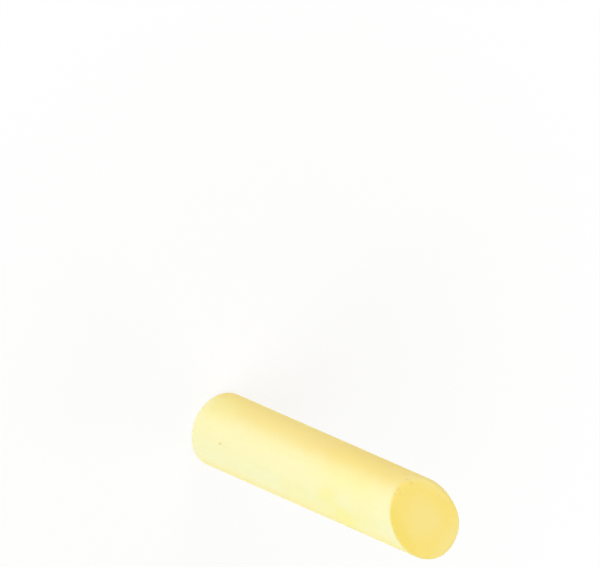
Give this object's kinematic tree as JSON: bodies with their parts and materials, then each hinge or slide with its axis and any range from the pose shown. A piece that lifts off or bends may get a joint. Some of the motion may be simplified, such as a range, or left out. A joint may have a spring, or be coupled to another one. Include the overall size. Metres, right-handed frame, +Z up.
{
  "type": "chalk stick",
  "caption": "Thick round chalk stick, cut square at one end and at a slant at the other, with softly rubbed edges.",
  "frame": {"origin": "centre of the square end, where the stick stands", "axes": "+Z up the stick's axis, +X towards the long side of the slanted cut"},
  "size_m": [0.0158, 0.0158, 0.0706],
  "materials": {
    "chalk": "dry, matt and powdery, pale ivory yellow all through"
  },
  "bodies": {
    "root": {"chalk_stick": "chalk"}
  },
  "joints": []
}
